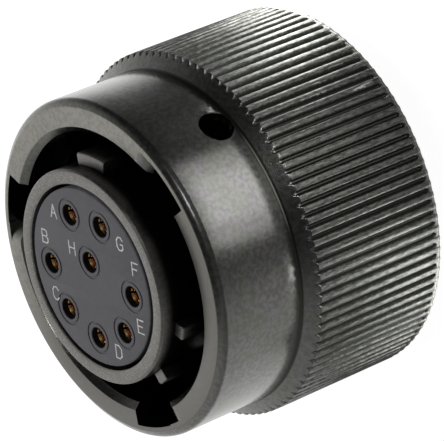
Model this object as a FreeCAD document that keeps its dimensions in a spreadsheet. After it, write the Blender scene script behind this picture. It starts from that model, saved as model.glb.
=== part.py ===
import FreeCAD, Part
import Sketcher
import math
import os
from FreeCAD import Placement, Rotation, Vector

# A bayonet-coupled circular connector plug with eight socket contacts.
# It stands on its threaded rear end: +Z points out of the mating face, +Y is
# the side of the master key, and z = 0 is the rear end of the shell.

doc = FreeCAD.newDocument("circular_connector")

# Driving dimensions, in millimetres and degrees. Radii and heights are built up
# from the insert outwards and from the rear end forwards, one wall, step or
# clearance at a time.
driving_dimensions = [
    ("contact_circle", 4.4, "circle of the outer contacts"),
    ("contact_pitch", 3.3, "from one contact to the next"),
    ("centre_contact_height", 1.1, "inner contact above the axis"),
    ("socket_bore", 0.52, "bore for the mating pin"),
    ("socket_depth", 6.5, "bore for the mating pin"),
    ("socket_wall", 0.18, "wall of a contact's socket"),
    ("tine_slit", 0.16, "slits that make the socket springy"),
    ("tine_length", 5.2, "slits that make the socket springy"),
    ("shoulder_step", 0.13, "shoulder of a contact, over its crimp barrel"),
    ("shoulder_width", 0.7, "shoulder of a contact"),
    ("crimp_bore", 0.52, "bore for the wire"),
    ("crimp_depth", 4.2, "bore for the wire"),
    ("crimp_wall", 0.3, "wall of the crimp barrel"),
    ("crimp_length", 6.0, "crimp barrel of a contact"),
    ("clip_room", 0.13, "clip round the contact's shoulder"),
    ("clip_wall", 0.16, "wall of a contact clip"),
    ("clip_slit", 0.3, "slit of a contact clip"),
    ("ridge_width", 0.16, "ridge in a clip, behind the contact's shoulder"),
    ("ridge_taper", 0.32, "slope behind the ridge"),
    ("hole_clearance", 0.025, "insert's holes round the sockets"),
    ("moat_land", 0.295, "from a hole to the shallow groove round it"),
    ("moat_width", 0.13, "shallow groove round each hole"),
    ("moat_depth", 0.12, "shallow groove round each hole"),
    ("contact_setback", 0.5, "contact behind the insert's face"),
    ("insert_rim", 1.98, "insert outside the contact circle"),
    ("insert_edge", 0.08, "broken edge of the insert's face"),
    ("insert_setback", 0.22, "insert's face behind the barrel's mouth"),
    ("disc_thickness", 2.0, "clip disc"),
    ("disc_web", 0.3, "floor under the clips"),
    ("grommet_nose", 0.5, "narrow front end of the wire grommet"),
    ("wire_hole_radius", 0.75, "mouths of the wire holes"),
    ("seal_height", 0.15, "sealing web in each wire hole"),
    ("mouth_depth", 0.7, "mouths of the wire holes"),
    ("barrel_gap", 0.51, "open ring round the insert's face"),
    ("barrel_wall", 0.65, "wall of the shell's barrel"),
    ("barrel_reach", 1.48, "barrel's mouth ahead of the ring"),
    ("barrel_chamfer", 0.15, "broken edges of the barrel's mouth"),
    ("stop_clearance", 0.12, "rib that the insert stops on, round its face"),
    ("stop_setback", 3.2, "rib behind the barrel's mouth"),
    ("stop_width", 1.0, "length of the rib"),
    ("key_height", 0.86, "keys on the barrel"),
    ("key_setback", 1.08, "front end of the keys behind the barrel's mouth"),
    ("master_key_angle", 20.0, "width of the master key"),
    ("minor_key_angle", 7.0, "width of a minor key"),
    ("rear_step", 0.56, "rear bore wider than the barrel's bore"),
    ("rear_recess", 2.0, "shell behind the wire grommet"),
    ("snap_depth", 0.35, "insert ring's groove in the rear bore"),
    ("snap_thickness", 0.95, "insert ring"),
    ("snap_width", 1.3, "insert ring, radially"),
    ("snap_gap", 2.4, "opening of the insert ring"),
    ("thread_wall", 1.28, "from the rear bore to the thread's major radius"),
    ("thread_chamfer", 0.45, "start of the rear thread"),
    ("thread_relief", 0.25, "thread's end behind the thrust washer"),
    ("neck_step", 0.17, "neck over the thread"),
    ("flange_width", 1.5, "flange of the shell"),
    ("gasket_thickness", 0.8, "gasket on the flange"),
    ("washer_thickness", 1.0, "thrust washer"),
    ("spring_height", 2.2, "room for the wave spring"),
    ("spring_thickness", 0.35, "strip of the wave spring"),
    ("spring_waves", 4, "waves round the spring"),
    ("retainer_thickness", 1.0, "retaining ring of the coupling ring"),
    ("retainer_width", 2.1, "retaining ring, radially"),
    ("retainer_gap", 3.0, "opening of the retaining ring"),
    ("rear_reach", 2.75, "threaded end of the shell behind the ring"),
    ("skirt_length", 1.1, "ring behind the retaining ring's groove"),
    ("lip_length", 11.15, "ring's narrow bore, behind its front face"),
    ("mating_room", 2.06, "from the barrel to the ring's bore"),
    ("lip_chamfer", 0.45, "chamfer at the mouth of the ring's bore"),
    ("chamber_step", 1.45, "spring chamber wider than the ring's bore"),
    ("groove_depth", 0.55, "retaining ring's groove in the chamber"),
    ("slot_height", 1.5, "bayonet slots, from the ring's bore"),
    ("slot_angle", 20.2, "width of a bayonet slot, without its lead-in"),
    ("slot_direction", 47.05, "middle of that width of the first slot, from +X"),
    ("slot_depth", 3.95, "bayonet slot, from the front face"),
    ("track_height", 1.43, "bayonet tracks, from the ring's bore"),
    ("track_width", 2.3, "bayonet track"),
    ("track_sweep", 98.85, "track from its slot to its end"),
    ("entry_ledge", 0.45, "slot's floor below the track's mouth"),
    ("lock_wall", 0.35, "from a slot's floor to the track's end under it"),
    ("ramp_angle", 8.0, "lead-in beside a slot"),
    ("ramp_drop", 0.75, "depth of the lead-in at the slot"),
    ("seat_margin", 0.05, "rounded seat of a bayonet pin, beyond the track"),
    ("sight_radius", 1.05, "sight hole at the end of a track"),
    ("sight_margin", 0.25, "from the sight holes to the conical step"),
    ("nose_strip", 0.27, "front face outside the slots"),
    ("nose_rise", 0.55, "bevel round the front face"),
    ("nose_bevel", 0.42, "length of that bevel"),
    ("step_length", 0.8, "conical step from the smooth band to the knurl"),
    ("step_height", 1.08, "conical step from the smooth band to the knurl"),
    ("knurl_teeth", 104, "grooves round the ring"),
    ("knurl_depth", 0.35, "depth of a knurl groove"),
    ("knurl_mouth", 0.4, "width of a groove at the top"),
    ("knurl_root", 0.14, "width of a groove at the bottom"),
    ("rim_width", 0.55, "plain rim behind the knurl"),
    ("rim_chamfer", 0.2, "chamfer of the rear rim"),
    ("running_clearance", 0.08, "turning and sliding fits, radially"),
    ("seat_clearance", 0.03, "pieces that sit in each other"),
    ("axial_play", 0.1, "ring ahead of the flange"),
    ("soft_clearance", 0.33, "loose pieces, from the walls round them"),
]

sheet = doc.addObject("Spreadsheet::Sheet", "Dimensions")
for row, (alias, size, meaning) in enumerate(driving_dimensions, start=1):
    sheet.set(f"A{row}", alias)
    sheet.set(f"B{row}", str(size))
    sheet.set(f"C{row}", meaning)
    sheet.setAlias(f"B{row}", alias)
doc.recompute()


def dim(alias):
    return f"Dimensions.{alias}"


def value(expression):
    return float(sheet.evalExpression(expression))


# Heights along the axis, from the rear end up
ring_rear = dim("rear_reach")
retainer_rear = f"({ring_rear} + {dim('skirt_length')})"
washer_rear = f"({retainer_rear} + {dim('retainer_thickness')})"
spring_rear = f"({washer_rear} + {dim('washer_thickness')})"
flange_rear = f"({spring_rear} + {dim('spring_height')})"
flange_front = f"({flange_rear} + {dim('flange_width')})"
chamber_front = f"({flange_front} + {dim('axial_play')})"
ring_front = f"({chamber_front} + {dim('lip_length')})"
barrel_front = f"({ring_front} + {dim('barrel_reach')})"
thread_front = f"({washer_rear} - {dim('thread_relief')})"
insert_face = f"({barrel_front} - {dim('insert_setback')})"
stop_front = f"({barrel_front} - {dim('stop_setback')})"
stop_rear = f"({stop_front} - {dim('stop_width')})"
key_front = f"({barrel_front} - {dim('key_setback')})"
disc_rear = f"({flange_front} + {dim('grommet_nose')})"
disc_front = f"({disc_rear} + {dim('disc_thickness')})"
contact_front = f"({insert_face} - {dim('contact_setback')})"
shoulder_rear = f"({disc_front} - {dim('shoulder_width')})"
contact_rear = f"({shoulder_rear} - {dim('crimp_length')})"

# Radii, from the contacts out
socket_radius = f"({dim('socket_bore')} + {dim('socket_wall')})"
face_hole_radius = f"({socket_radius} + {dim('hole_clearance')})"
moat_inner_radius = f"({face_hole_radius} + {dim('moat_land')})"
moat_outer_radius = f"({moat_inner_radius} + {dim('moat_width')})"
crimp_radius = f"({dim('crimp_bore')} + {dim('crimp_wall')})"
crimp_hole_radius = f"({crimp_radius} + {dim('seat_clearance')})"
wire_seal_radius = f"({dim('wire_hole_radius')} - {dim('seal_height')})"
shoulder_radius = f"({crimp_radius} + {dim('shoulder_step')})"
clip_bore = f"({shoulder_radius} + {dim('clip_room')})"
clip_radius = f"({clip_bore} + {dim('clip_wall')})"
boss_radius = f"({dim('contact_circle')} + {dim('insert_rim')})"
stop_radius = f"({boss_radius} + {dim('stop_clearance')})"
barrel_bore = f"({boss_radius} + {dim('barrel_gap')})"
barrel_radius = f"({barrel_bore} + {dim('barrel_wall')})"
key_radius = f"({barrel_radius} + {dim('key_height')})"
rear_bore = f"({barrel_bore} + {dim('rear_step')})"
snap_radius = f"({rear_bore} + {dim('snap_depth')})"
thread_radius = f"({rear_bore} + {dim('thread_wall')})"
neck_radius = f"({thread_radius} + {dim('neck_step')})"
lip_radius = f"({barrel_radius} + {dim('mating_room')})"
track_radius = f"({lip_radius} + {dim('track_height')})"
slot_radius = f"({lip_radius} + {dim('slot_height')})"
chamber_radius = f"({lip_radius} + {dim('chamber_step')})"
groove_radius = f"({chamber_radius} + {dim('groove_depth')})"
nose_radius = f"({slot_radius} + {dim('nose_strip')})"
band_radius = f"({nose_radius} + {dim('nose_rise')})"
knurl_radius = f"({band_radius} + {dim('step_height')})"

# Bayonet tracks and the conical step, from the front face back
track_entry = f"({dim('slot_depth')} - {dim('entry_ledge')} - {dim('track_width')} / 2)"
track_lock = f"({dim('slot_depth')} + {dim('lock_wall')} + {dim('track_width')} / 2)"
band_length = f"({track_lock} + {dim('sight_radius')} + {dim('sight_margin')})"

# Where each contact stands, by the letter of its position
contact_step = f"(2 * asin({dim('contact_pitch')} / (2 * {dim('contact_circle')})))"


def on_circle(side, steps):
    x = f"{side} * {dim('contact_circle')} * sin({steps} * {contact_step})"
    y = f"-{dim('contact_circle')} * cos({steps} * {contact_step})"
    return x, y


top_x = f"{dim('contact_circle')} * sin({contact_step} / 2)"
top_y = f"{dim('contact_circle')} * cos({contact_step} / 2)"
contact_places = {
    "a": (f"-{top_x}", top_y),
    "b": on_circle(-1, 2),
    "c": on_circle(-1, 1),
    "d": ("0", f"-{dim('contact_circle')}"),
    "e": on_circle(1, 1),
    "f": on_circle(1, 2),
    "g": (top_x, top_y),
    "h": ("0", dim("centre_contact_height")),
}

pieces = []


def new_piece(label, piece):
    piece.Label = label
    pieces.append(piece)
    return piece


def origin_feature(body, role):
    return next(part for part in body.Origin.OriginFeatures if part.Role == role)


def bind(thing, **expressions):
    for name, expression in expressions.items():
        thing.setExpression(name.replace("__", "."), expression)


def sketch_on(body, name, role, offset=None):
    sketch = body.newObject("Sketcher::SketchObject", name)
    sketch.AttachmentSupport = [(origin_feature(body, role), "")]
    sketch.MapMode = "FlatFace"
    if offset is not None:
        sketch.AttachmentOffset = offset
    return sketch


def fix_point(sketch, geometry, point, across, along):
    """Dimension one point of a sketch from the origin, both ways."""
    for kind, expression, axis in (("DistanceX", across, -2), ("DistanceY", along, -1)):
        distance = value(expression)
        if distance == 0:
            sketch.addConstraint(Sketcher.Constraint("PointOnObject", geometry, point, axis))
            continue
        index = sketch.addConstraint(
            Sketcher.Constraint(kind, -1, 1, geometry, point, distance)
        )
        sketch.setExpression(f"Constraints[{index}]", expression)


def draw_outline(sketch, corners):
    """A closed outline of straight edges with every corner dimensioned."""
    points = [Vector(value(across), value(along), 0) for across, along in corners]
    count = len(points)
    for i in range(count):
        sketch.addGeometry(Part.LineSegment(points[i], points[(i + 1) % count]), False)
    for i in range(count):
        sketch.addConstraint(Sketcher.Constraint("Coincident", i, 2, (i + 1) % count, 1))
    for i, (across, along) in enumerate(corners):
        fix_point(sketch, i, 1, across, along)


def draw_circles_at_contacts(sketch, radii):
    for across, along in contact_places.values():
        centre = Vector(value(across), value(along), 0)
        for radius in radii:
            circle = sketch.addGeometry(Part.Circle(centre, Vector(0, 0, 1), value(radius)), False)
            fix_point(sketch, circle, 3, across, along)
            index = sketch.addConstraint(Sketcher.Constraint("Radius", circle, value(radius)))
            sketch.setExpression(f"Constraints[{index}]", radius)


def revolve(body, name, kind, corners):
    sketch = sketch_on(body, f"{name}_outline", "XZ_Plane")
    draw_outline(sketch, corners)
    feature = body.newObject(kind, name)
    feature.Profile = sketch
    feature.ReferenceAxis = (sketch, ["V_Axis"])
    feature.Angle = 360
    body.Tip = feature
    return feature


def turned(label, corners):
    body = doc.addObject("PartDesign::Body", label)
    revolve(body, f"{label}_blank", "PartDesign::Revolution", corners)
    return new_piece(label, body)


def pocket(body, name, height, depth, draw):
    """A pocket that starts at a height and is cut down towards the rear."""
    offset = Placement(Vector(0, 0, value(height)), Rotation())
    sketch = sketch_on(body, f"{name}_sketch", "XY_Plane", offset)
    bind(sketch, AttachmentOffset__Base__z=height)
    draw(sketch)
    feature = body.newObject("PartDesign::Pocket", name)
    feature.Profile = sketch
    feature.Type = 0
    bind(feature, Length=depth)
    body.Tip = feature
    return feature


def sector(body, name, kind, direction, bottom, **sizes):
    """Part of a cylinder round the axis, from one direction on."""
    feature = body.newObject(kind, name)
    feature.AttachmentSupport = [(origin_feature(body, "XY_Plane"), "")]
    feature.MapMode = "FlatFace"
    feature.AttachmentOffset = Placement(
        Vector(0, 0, value(bottom)), Rotation(Vector(0, 0, 1), value(direction))
    )
    bind(feature, AttachmentOffset__Rotation__Angle=direction, AttachmentOffset__Base__z=bottom)
    bind(feature, **sizes)
    body.Tip = feature
    return feature


def radial_hole(body, name, direction, height, radius, reach):
    """A round hole that runs out from the axis in one direction."""
    feature = body.newObject("PartDesign::SubtractiveCylinder", name)
    feature.AttachmentSupport = [(origin_feature(body, "YZ_Plane"), "")]
    feature.MapMode = "FlatFace"
    feature.AttachmentOffset = Placement(
        Vector(0, value(height), 0), Rotation(Vector(0, 1, 0), value(direction))
    )
    bind(feature, AttachmentOffset__Rotation__Angle=direction, AttachmentOffset__Base__y=height)
    bind(feature, Radius=radius, Height=reach)
    body.Tip = feature
    return feature


def radial_pocket(body, name, direction, reach, corners):
    """An outline that is cut from the axis out in one direction."""
    offset = Placement(Vector(), Rotation(Vector(0, 1, 0), value(direction)))
    sketch = sketch_on(body, f"{name}_outline", "YZ_Plane", offset)
    bind(sketch, AttachmentOffset__Rotation__Angle=direction)
    draw_outline(sketch, corners)
    feature = body.newObject("PartDesign::Pocket", name)
    feature.Profile = sketch
    feature.Type = 0
    feature.Reversed = True
    bind(feature, Length=reach)
    body.Tip = feature
    return feature


def helical_cut(body, name, direction, corners, rise, sweep):
    """An outline that is carried round and up the axis."""
    offset = Placement(Vector(), Rotation(Vector(0, 1, 0), value(direction)))
    sketch = sketch_on(body, f"{name}_section", "XZ_Plane", offset)
    bind(sketch, AttachmentOffset__Rotation__Angle=direction)
    draw_outline(sketch, corners)
    feature = body.newObject("PartDesign::SubtractiveHelix", name)
    feature.Profile = sketch
    feature.ReferenceAxis = (sketch, ["V_Axis"])
    feature.Mode = "height-turns-angle"
    bind(feature, Height=rise, Turns=f"{sweep} / 360")
    feature.LeftHanded = False
    body.Tip = feature
    return feature


def polar_pattern(body, name, originals, count):
    pattern = body.newObject("PartDesign::PolarPattern", name)
    pattern.Originals = originals
    pattern.Axis = (origin_feature(body, "Z_Axis"), [""])
    pattern.Angle = 360
    if isinstance(count, str):
        bind(pattern, Occurrences=count)
    else:
        pattern.Occurrences = count
    body.Tip = pattern
    return pattern


def cylinder(name, radius, bottom, height):
    solid = doc.addObject("Part::Cylinder", name)
    bind(solid, Radius=radius, Height=height, Placement__Base__z=bottom)
    return solid


def tube(name, outer, inner, bottom, height):
    solid = doc.addObject("Part::Cut", name)
    solid.Base = cylinder(f"{name}_outside", outer, bottom, height)
    solid.Tool = cylinder(f"{name}_inside", inner, bottom, height)
    return solid


def split_ring(label, outer, inner, bottom, height, gap):
    """A flat ring with a gap on its -Y side."""
    opening = doc.addObject("Part::Box", f"{label}_opening")
    bind(opening, Length=gap, Width=outer, Height=height)
    bind(
        opening,
        Placement__Base__x=f"-{gap} / 2",
        Placement__Base__y=f"-{outer}",
        Placement__Base__z=bottom,
    )
    ring = doc.addObject("Part::Cut", label)
    ring.Base = tube(f"{label}_band", outer, inner, bottom, height)
    ring.Tool = opening
    return new_piece(label, ring)


# Coupling ring: one turned piece with a knurl, slots, tracks and sight holes
bayonet_count = 3


def make_coupling_ring():
    step_front = f"({ring_front} - {band_length})"
    step_rear = f"({step_front} - {dim('step_length')})"
    corners = [
        (chamber_radius, ring_rear),
        (f"{knurl_radius} - {dim('rim_chamfer')}", ring_rear),
        (knurl_radius, f"{ring_rear} + {dim('rim_chamfer')}"),
        (knurl_radius, step_rear),
        (band_radius, step_front),
        (band_radius, f"{ring_front} - {dim('nose_bevel')}"),
        (nose_radius, ring_front),
        (f"{lip_radius} + {dim('lip_chamfer')}", ring_front),
        (lip_radius, f"{ring_front} - {dim('lip_chamfer')}"),
        (lip_radius, chamber_front),
        (chamber_radius, chamber_front),
        (chamber_radius, washer_rear),
        (groove_radius, washer_rear),
        (groove_radius, retainer_rear),
        (chamber_radius, retainer_rear),
    ]
    ring = turned("coupling_ring", corners)

    # A bayonet pin enters at a slot, runs down a track and ends in a seat
    slot_start = f"{dim('slot_direction')} - {dim('slot_angle')} / 2"
    slot_end = f"{dim('slot_direction')} + {dim('slot_angle')} / 2"
    track_end = f"{slot_start} - {dim('track_sweep')}"
    lock_height = f"({ring_front} - {track_lock})"
    slot = sector(
        ring,
        "bayonet_slot",
        "PartDesign::SubtractiveCylinder",
        slot_start,
        f"{ring_front} - {dim('slot_depth')}",
        Radius=slot_radius,
        Height=f"{dim('slot_depth')} + {dim('barrel_reach')}",
        Angle=dim("slot_angle"),
    )
    # The track is carried on into its slot, so that it opens cleanly there
    run_on = 1.05
    track = helical_cut(
        ring,
        "bayonet_track",
        track_end,
        [
            (key_radius, f"{lock_height} - {dim('track_width')} / 2"),
            (track_radius, f"{lock_height} - {dim('track_width')} / 2"),
            (track_radius, f"{lock_height} + {dim('track_width')} / 2"),
            (key_radius, f"{lock_height} + {dim('track_width')} / 2"),
        ],
        f"({track_lock} - {track_entry}) * {run_on}",
        f"{dim('track_sweep')} * {run_on}",
    )
    # The lead-in is a flat ramp that rises from the slot's far edge to the front
    # face. Its outline is carried on past both ends, so that it cuts them cleanly.
    half_ramp = f"({track_radius} * sin({dim('ramp_angle')} / 2))"
    carried_on = 1.2

    def on_ramp(place):
        return f"{half_ramp} * {place}", f"{ring_front} + {dim('ramp_drop')} * ({place} - 1) / 2"

    ramp = radial_pocket(
        ring,
        "lead_in",
        f"{slot_end} + {dim('ramp_angle')} / 2",
        track_radius,
        [
            on_ramp(-carried_on),
            on_ramp(carried_on),
            (f"{half_ramp} * {carried_on}", f"{ring_front} + {dim('ramp_drop')}"),
            (f"{half_ramp} * -{carried_on}", f"{ring_front} + {dim('ramp_drop')}"),
        ],
    )
    polar_pattern(ring, "slots_and_tracks", [slot, track, ramp], bayonet_count)
    seat_radius = f"{dim('track_width')} / 2 + {dim('seat_margin')}"
    seat = radial_hole(ring, "pin_seat", track_end, lock_height, seat_radius, track_radius)
    sight_radius = dim("sight_radius")
    sight = radial_hole(ring, "sight_hole", track_end, lock_height, sight_radius, knurl_radius)
    polar_pattern(ring, "seats_and_holes", [seat, sight], bayonet_count)

    # Straight knurl: flat lands between grooves that run out over the conical step
    root = f"{knurl_radius} - {dim('knurl_depth')}"
    crest = f"{knurl_radius} + {dim('knurl_depth')}"
    half_root = f"{dim('knurl_root')} / 2"
    half_crest = f"({dim('knurl_mouth')} - {half_root})"
    groove = pocket(
        ring,
        "knurl_groove",
        step_front,
        f"{ring_front} - {band_length} - {ring_rear} - {dim('rim_width')}",
        lambda sketch: draw_outline(
            sketch,
            [
                (root, f"-{half_root}"),
                (crest, f"-{half_crest}"),
                (crest, half_crest),
                (root, half_root),
            ],
        ),
    )
    polar_pattern(ring, "knurl", [groove], dim("knurl_teeth"))


# Plug shell: barrel with keys, flange, neck and rear thread in one piece
master_key_direction = 90
minor_keys_clockwise_of_master = (105, 140, 215, 265)


def make_plug_shell():
    flange_radius = f"({chamber_radius} - {dim('running_clearance')})"
    shell = turned(
        "plug_shell",
        [
            ("0", "0"),
            (f"{thread_radius} - {dim('thread_chamfer')}", "0"),
            (thread_radius, dim("thread_chamfer")),
            (thread_radius, thread_front),
            (neck_radius, thread_front),
            (neck_radius, flange_rear),
            (flange_radius, flange_rear),
            (flange_radius, flange_front),
            (barrel_radius, flange_front),
            (barrel_radius, f"{barrel_front} - {dim('barrel_chamfer')}"),
            (f"{barrel_radius} - {dim('barrel_chamfer')}", barrel_front),
            ("0", barrel_front),
        ],
    )
    keys = [("master_key", master_key_direction, "master_key_angle")]
    for number, clockwise in enumerate(minor_keys_clockwise_of_master, start=1):
        keys.append((f"minor_key_{number}", master_key_direction - clockwise, "minor_key_angle"))
    for name, direction, angle in keys:
        sector(
            shell,
            name,
            "PartDesign::AdditiveCylinder",
            f"{direction} - {dim(angle)} / 2",
            flange_front,
            Radius=key_radius,
            Height=f"{key_front} - {flange_front}",
            Angle=dim(angle),
        )
    snap_front = dim("rear_recess")
    snap_rear = f"({snap_front} - {dim('snap_thickness')})"
    revolve(
        shell,
        "shell_bore",
        "PartDesign::Groove",
        [
            ("0", "0"),
            (rear_bore, "0"),
            (rear_bore, snap_rear),
            (snap_radius, snap_rear),
            (snap_radius, snap_front),
            (rear_bore, snap_front),
            (rear_bore, flange_front),
            (barrel_bore, flange_front),
            (barrel_bore, stop_rear),
            (stop_radius, stop_rear),
            (stop_radius, stop_front),
            (barrel_bore, stop_front),
            (barrel_bore, f"{barrel_front} - {dim('barrel_chamfer')}"),
            (f"{barrel_bore} + {dim('barrel_chamfer')}", barrel_front),
            ("0", barrel_front),
        ],
    )


# Insert: a stepped disc of hard plastic with a hole for each contact
insert_body_radius = f"({barrel_bore} - {dim('seat_clearance')})"


def make_front_insert():
    insert = turned(
        "front_insert",
        [
            ("0", disc_front),
            (insert_body_radius, disc_front),
            (insert_body_radius, stop_rear),
            (boss_radius, stop_rear),
            (boss_radius, f"{insert_face} - {dim('insert_edge')}"),
            (f"{boss_radius} - {dim('insert_edge')}", insert_face),
            ("0", insert_face),
        ],
    )
    pocket(
        insert,
        "face_moats",
        insert_face,
        dim("moat_depth"),
        lambda sketch: draw_circles_at_contacts(
            sketch, (moat_outer_radius, moat_inner_radius)
        ),
    )
    pocket(
        insert,
        "contact_holes",
        insert_face,
        f"{insert_face} - {disc_front}",
        lambda sketch: draw_circles_at_contacts(sketch, (face_hole_radius,)),
    )


# Clip disc: holds the contact clips against the back of the insert
clip_hole_radius = f"({clip_radius} + {dim('seat_clearance')})"


def make_clip_disc():
    disc = turned(
        "clip_disc",
        [
            ("0", disc_rear),
            (insert_body_radius, disc_rear),
            (insert_body_radius, disc_front),
            ("0", disc_front),
        ],
    )
    pocket(
        disc,
        "clip_holes",
        disc_front,
        f"{dim('disc_thickness')} - {dim('disc_web')}",
        lambda sketch: draw_circles_at_contacts(sketch, (clip_hole_radius,)),
    )
    pocket(
        disc,
        "crimp_holes",
        f"({disc_rear} + {dim('disc_web')})",
        dim("disc_web"),
        lambda sketch: draw_circles_at_contacts(sketch, (crimp_hole_radius,)),
    )


# Wire grommet: rubber plug that seals round each wire
def make_wire_grommet():
    grommet_radius = f"({rear_bore} - {dim('seat_clearance')})"
    grommet = turned(
        "wire_grommet",
        [
            ("0", dim("rear_recess")),
            (grommet_radius, dim("rear_recess")),
            (grommet_radius, flange_front),
            (insert_body_radius, flange_front),
            (insert_body_radius, disc_rear),
            ("0", disc_rear),
        ],
    )
    pocket(
        grommet,
        "crimp_sleeves",
        disc_rear,
        f"{disc_rear} - {contact_rear} + {dim('seat_clearance')}",
        lambda sketch: draw_circles_at_contacts(sketch, (crimp_hole_radius,)),
    )
    pocket(
        grommet,
        "wire_seals",
        contact_rear,
        f"{contact_rear} - {dim('rear_recess')}",
        lambda sketch: draw_circles_at_contacts(sketch, (wire_seal_radius,)),
    )
    pocket(
        grommet,
        "wire_holes",
        f"({dim('rear_recess')} + {dim('mouth_depth')})",
        dim("mouth_depth"),
        lambda sketch: draw_circles_at_contacts(sketch, (dim("wire_hole_radius"),)),
    )


# Socket contacts: turned, with a slit socket at the front and a crimp barrel
def place_at_contact(piece, place):
    across, along = place
    bind(piece, Placement__Base__x=across, Placement__Base__y=along)


def make_contact(letter, place):
    label = f"socket_contact_{letter}"
    contact = turned(
        label,
        [
            ("0", f"{contact_front} - {dim('socket_depth')}"),
            (dim("socket_bore"), f"{contact_front} - {dim('socket_depth')}"),
            (dim("socket_bore"), contact_front),
            (socket_radius, contact_front),
            (socket_radius, disc_front),
            (shoulder_radius, disc_front),
            (shoulder_radius, shoulder_rear),
            (crimp_radius, shoulder_rear),
            (crimp_radius, contact_rear),
            (dim("crimp_bore"), contact_rear),
            (dim("crimp_bore"), f"{contact_rear} + {dim('crimp_depth')}"),
            ("0", f"{contact_rear} + {dim('crimp_depth')}"),
        ],
    )
    slit = contact.newObject("PartDesign::SubtractiveBox", f"{label}_slit")
    slit.AttachmentSupport = [(origin_feature(contact, "XY_Plane"), "")]
    slit.MapMode = "FlatFace"
    bind(
        slit,
        Length=f"{socket_radius} * 2",
        Width=dim("tine_slit"),
        Height=dim("tine_length"),
        AttachmentOffset__Base__x=f"-{socket_radius}",
        AttachmentOffset__Base__y=f"-{dim('tine_slit')} / 2",
        AttachmentOffset__Base__z=f"{contact_front} - {dim('tine_length')}",
    )
    contact.Tip = slit
    place_at_contact(contact, place)


# Contact clips: a slit spring tube with an inner ridge behind the shoulder
def make_clip(letter, place):
    label = f"contact_clip_{letter}"
    clip_rear = f"({disc_rear} + {dim('disc_web')})"
    ridge_height = f"({shoulder_rear} - {dim('seat_clearance')})"
    clip = turned(
        label,
        [
            (clip_bore, clip_rear),
            (clip_radius, clip_rear),
            (clip_radius, disc_front),
            (clip_bore, disc_front),
            (clip_bore, ridge_height),
            (crimp_hole_radius, ridge_height),
            (crimp_hole_radius, f"{ridge_height} - {dim('ridge_width')}"),
            (clip_bore, f"{ridge_height} - {dim('ridge_width')} - {dim('ridge_taper')}"),
        ],
    )
    slit = clip.newObject("PartDesign::SubtractiveBox", f"{label}_slit")
    slit.AttachmentSupport = [(origin_feature(clip, "XY_Plane"), "")]
    slit.MapMode = "FlatFace"
    bind(
        slit,
        Length=clip_radius,
        Width=dim("clip_slit"),
        Height=dim("disc_thickness"),
        AttachmentOffset__Base__y=f"-{dim('clip_slit')} / 2",
        AttachmentOffset__Base__z=disc_rear,
    )
    clip.Tip = slit
    place_at_contact(clip, place)


# Wave spring: a flat strip bent into waves round the neck
points_per_wave = 12


def make_wave_spring():
    inner = value(neck_radius) + value(dim("soft_clearance"))
    outer = value(chamber_radius) - value(dim("soft_clearance"))
    thickness = value(dim("spring_thickness"))
    waves = int(value(dim("spring_waves")))
    room = value(dim("spring_height")) - 2 * value(dim("seat_clearance"))
    swing = (room - thickness) / 2
    middle = value(spring_rear) + value(dim("spring_height")) / 2

    def wavy_edge(radius, lift):
        curve = Part.BSplineCurve()
        count = waves * points_per_wave
        turns = [2 * math.pi * i / count for i in range(count)]
        points = [
            Vector(
                radius * math.cos(turn),
                radius * math.sin(turn),
                middle + lift + swing * math.cos(waves * turn),
            )
            for turn in turns
        ]
        curve.interpolate(Points=points, PeriodicFlag=True)
        return curve.toShape()

    corners = [
        wavy_edge(inner, -thickness / 2),
        wavy_edge(outer, -thickness / 2),
        wavy_edge(outer, thickness / 2),
        wavy_edge(inner, thickness / 2),
    ]
    faces = [
        Part.makeRuledSurface(corners[i], corners[(i + 1) % len(corners)])
        for i in range(len(corners))
    ]
    skin = Part.makeShell([face for surface in faces for face in surface.Faces])
    skin.sewShape()
    solid = Part.makeSolid(skin)
    if solid.Volume < 0:
        solid.reverse()
    spring = doc.addObject("Part::Feature", "wave_spring")
    spring.Shape = solid
    new_piece("wave_spring", spring)


def make_rings():
    washer = tube(
        "thrust_washer",
        f"{chamber_radius} - {dim('running_clearance')}",
        f"{neck_radius} + {dim('running_clearance')}",
        washer_rear,
        dim("washer_thickness"),
    )
    new_piece("thrust_washer", washer)
    gasket = tube(
        "shell_gasket",
        f"{lip_radius} - {dim('soft_clearance')}",
        f"{key_radius} + {dim('seat_clearance')}",
        flange_front,
        dim("gasket_thickness"),
    )
    new_piece("shell_gasket", gasket)
    split_ring(
        "retaining_ring",
        groove_radius,
        f"{groove_radius} - {dim('retainer_width')}",
        retainer_rear,
        dim("retainer_thickness"),
        dim("retainer_gap"),
    )
    split_ring(
        "insert_ring",
        snap_radius,
        f"{snap_radius} - {dim('snap_width')}",
        f"({dim('rear_recess')} - {dim('snap_thickness')})",
        dim("snap_thickness"),
        dim("snap_gap"),
    )


make_coupling_ring()
make_plug_shell()
make_front_insert()
make_clip_disc()
make_wire_grommet()
for letter, place in contact_places.items():
    make_contact(letter, place)
    make_clip(letter, place)
make_wave_spring()
make_rings()
doc.recompute()

# Nothing is written unless every object and every piece is sound
for thing in doc.Objects:
    if "Invalid" in thing.State or "Error" in thing.State:
        raise RuntimeError(f"{thing.Name} failed: {thing.State}")
for piece in pieces:
    if piece.Shape.isNull() or not piece.Shape.isValid():
        raise RuntimeError(f"{piece.Label} has no valid shape")

os.makedirs("parts", exist_ok=True)
for piece in pieces:
    piece.Shape.exportStep(f"parts/{piece.Label}.step")
    print(f"{piece.Label}: {len(piece.Shape.Solids)} solid, {piece.Shape.Volume:.2f} mm3")
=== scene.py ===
import math

import bmesh
import bpy
from mathutils import Matrix, Vector


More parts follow.
